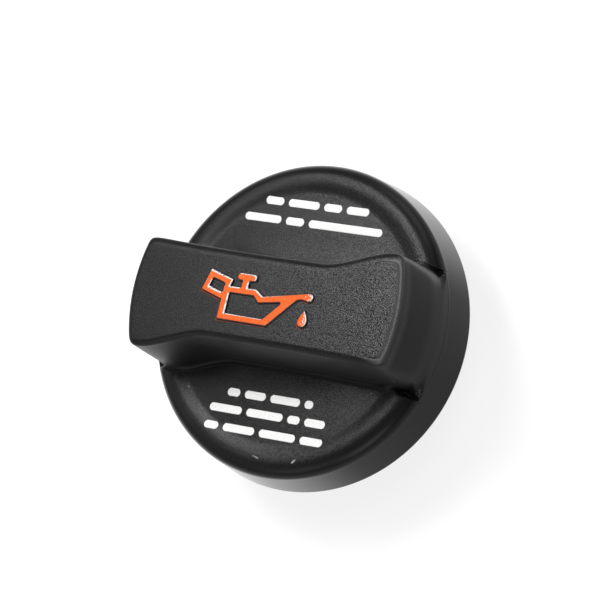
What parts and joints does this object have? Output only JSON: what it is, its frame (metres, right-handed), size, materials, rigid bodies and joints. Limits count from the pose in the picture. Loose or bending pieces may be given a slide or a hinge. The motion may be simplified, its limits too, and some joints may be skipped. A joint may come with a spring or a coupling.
{
  "type": "oil filler cap",
  "caption": "Round quarter-turn oil filler cap with a raised S-plan grip bar, a skirt, a bayonet neck below and a rubber sealing ring.",
  "frame": {"origin": "on the cap's axis, in the sealing plane under the rubber ring", "axes": "+Z along the cap's axis, up to the hand; +X along the grip bar"},
  "size_m": [0.07, 0.07, 0.0427],
  "materials": {
    "shell_plastic": "fine-grained black moulded plastic",
    "neck_plastic": "smooth satin black moulded plastic",
    "seal_rubber": "matt black rubber",
    "symbol_orange": "orange printed ink on the raised symbol",
    "print_white": "white printed ink"
  },
  "bodies": {
    "root": {"cap_shell": "shell_plastic", "bayonet_neck": "neck_plastic", "seal_ring": "seal_rubber"}
  },
  "joints": []
}
